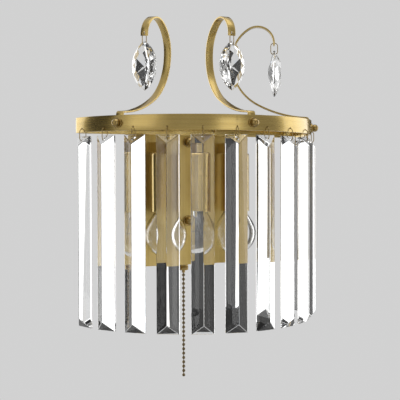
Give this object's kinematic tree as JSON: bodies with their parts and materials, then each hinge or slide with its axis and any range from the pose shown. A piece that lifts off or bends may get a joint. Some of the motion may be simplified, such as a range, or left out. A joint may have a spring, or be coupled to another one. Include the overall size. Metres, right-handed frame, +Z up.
{
  "type": "wall sconce",
  "caption": "Half-round brass wall light with hanging crystal bars, scroll arms with crystal pendants, downward lamps and a pull-chain switch.",
  "frame": {"origin": "on the wall, midway between the two mounting studs", "axes": "+Z up, +Y into the wall, -Y out into the room, +X to the viewer's right"},
  "size_m": [0.2658, 0.1576, 0.3718],
  "materials": {
    "antique_brass": "antique brass, brushed and lacquered",
    "brass_wire": "bright drawn brass wire",
    "crystal": "clear cut lead crystal, polished facets",
    "bulb_glass": "clear blown glass",
    "nickel": "nickel-plated cap",
    "tungsten": "glass stem and drawn wire",
    "zinc_steel": "zinc-plated steel",
    "black_plastic": "moulded phenolic",
    "white_plastic": "moulded polyamide and silicone insulation"
  },
  "bodies": {
    "root": {"wall_strap": "zinc_steel", "mounting_studs": "zinc_steel", "backplate": "antique_brass", "plate_cap_nuts": "antique_brass", "ring_hoop": "antique_brass", "ring_bar_screws": "antique_brass", "scroll_screws": "antique_brass", "scroll_cap_nuts": "antique_brass", "switch_housing": "black_plastic", "switch_nut": "antique_brass", "switch_spring": "zinc_steel", "terminal_block": "white_plastic", "lead_wires": "white_plastic", "scroll_left": "antique_brass", "scroll_front": "antique_brass", "scroll_right": "antique_brass", "lamp_arm_left": "antique_brass", "lamp_sleeve_left": "antique_brass", "lampholder_left": "black_plastic", "bulb_cap_left": "nickel", "bulb_glass_left": "bulb_glass", "bulb_filament_left": "tungsten", "lamp_arm_right": "antique_brass", "lamp_sleeve_right": "antique_brass", "lampholder_right": "black_plastic", "bulb_cap_right": "nickel", "bulb_glass_right": "bulb_glass", "bulb_filament_right": "tungsten"},
    "pull_rod": {"pull_rod": "antique_brass"},
    "pull_chain": {"pull_chain": "antique_brass"},
    "pendant_left": {"pendant_ring_left": "brass_wire", "pendant_left": "crystal"},
    "pendant_front": {"pendant_ring_front": "brass_wire", "pendant_front": "crystal"},
    "pendant_right": {"pendant_ring_right": "brass_wire", "pendant_right": "crystal"},
    "prism_01": {"prism_01": "crystal", "prism_hook_01": "brass_wire"},
    "prism_02": {"prism_02": "crystal", "prism_hook_02": "brass_wire"},
    "prism_03": {"prism_03": "crystal", "prism_hook_03": "brass_wire"},
    "prism_04": {"prism_04": "crystal", "prism_hook_04": "brass_wire"},
    "prism_05": {"prism_05": "crystal", "prism_hook_05": "brass_wire"},
    "prism_06": {"prism_06": "crystal", "prism_hook_06": "brass_wire"},
    "prism_07": {"prism_07": "crystal", "prism_hook_07": "brass_wire"},
    "prism_08": {"prism_08": "crystal", "prism_hook_08": "brass_wire"},
    "prism_09": {"prism_09": "crystal", "prism_hook_09": "brass_wire"},
    "prism_10": {"prism_10": "crystal", "prism_hook_10": "brass_wire"},
    "prism_11": {"prism_11": "crystal", "prism_hook_11": "brass_wire"},
    "prism_12": {"prism_12": "crystal", "prism_hook_12": "brass_wire"}
  },
  "joints": [
    {"name": "pendant_left_swing", "type": "hinge", "parent": "root", "child": "pendant_left", "pos_m": [-0.07548, -0.07173, 0.1412], "axis": [-0.518, 0.8554, 0], "range_deg": [-25, 60]},
    {"name": "pendant_front_swing", "type": "hinge", "parent": "root", "child": "pendant_front", "pos_m": [0, -0.11136, 0.14135], "axis": [-1, 0, 0], "range_deg": [-25, 60]},
    {"name": "pendant_right_swing", "type": "hinge", "parent": "root", "child": "pendant_right", "pos_m": [0.07815, -0.06733, 0.14135], "axis": [-0.518, -0.8554, 0], "range_deg": [-25, 60]},
    {"name": "prism_01_swing", "type": "hinge", "parent": "root", "child": "prism_01", "pos_m": [-0.12736, -0.04051, 0.0481], "axis": [-0.159, 0.9873, 0], "range_deg": [-10, 60]},
    {"name": "prism_02_swing", "type": "hinge", "parent": "root", "child": "prism_02", "pos_m": [-0.11798, -0.07216, 0.0481], "axis": [-0.4043, 0.9146, 0], "range_deg": [-10, 60]},
    {"name": "prism_03_swing", "type": "hinge", "parent": "root", "child": "prism_03", "pos_m": [-0.10089, -0.10039, 0.0481], "axis": [-0.6232, 0.7821, 0], "range_deg": [-10, 60]},
    {"name": "prism_04_swing", "type": "hinge", "parent": "root", "child": "prism_04", "pos_m": [-0.07718, -0.12336, 0.0481], "axis": [-0.8013, 0.5983, 0], "range_deg": [-10, 60]},
    {"name": "prism_05_swing", "type": "hinge", "parent": "root", "child": "prism_05", "pos_m": [-0.04843, -0.13956, 0.0481], "axis": [-0.9269, 0.3754, 0], "range_deg": [-10, 60]},
    {"name": "prism_06_swing", "type": "hinge", "parent": "root", "child": "prism_06", "pos_m": [-0.0165, -0.14794, 0.0481], "axis": [-0.9918, 0.1279, 0], "range_deg": [-10, 60]},
    {"name": "prism_07_swing", "type": "hinge", "parent": "root", "child": "prism_07", "pos_m": [0.0165, -0.14794, 0.0481], "axis": [-0.9918, -0.1279, 0], "range_deg": [-10, 60]},
    {"name": "prism_08_swing", "type": "hinge", "parent": "root", "child": "prism_08", "pos_m": [0.04843, -0.13956, 0.0481], "axis": [-0.9269, -0.3754, 0], "range_deg": [-10, 60]},
    {"name": "prism_09_swing", "type": "hinge", "parent": "root", "child": "prism_09", "pos_m": [0.07718, -0.12336, 0.0481], "axis": [-0.8013, -0.5983, 0], "range_deg": [-10, 60]},
    {"name": "prism_10_swing", "type": "hinge", "parent": "root", "child": "prism_10", "pos_m": [0.10089, -0.10039, 0.0481], "axis": [-0.6232, -0.7821, 0], "range_deg": [-10, 60]},
    {"name": "prism_11_swing", "type": "hinge", "parent": "root", "child": "prism_11", "pos_m": [0.11798, -0.07216, 0.0481], "axis": [-0.4043, -0.9146, 0], "range_deg": [-10, 60]},
    {"name": "prism_12_swing", "type": "hinge", "parent": "root", "child": "prism_12", "pos_m": [0.12736, -0.04051, 0.0481], "axis": [-0.159, -0.9873, 0], "range_deg": [-10, 60]},
    {"name": "pull_rod_slide", "type": "slide", "parent": "root", "child": "pull_rod", "axis": [0, 0, -1], "range_m": [0, 0.008], "stiffness_N_per_m": 400, "springref_m": -0.001, "deforming": ["switch_spring"]},
    {"name": "pull_chain_swing", "type": "hinge", "parent": "pull_rod", "child": "pull_chain", "pos_m": [0, -0.01, -0.0964], "axis": [0, 1, 0], "range_deg": [-45, 45]}
  ]
}
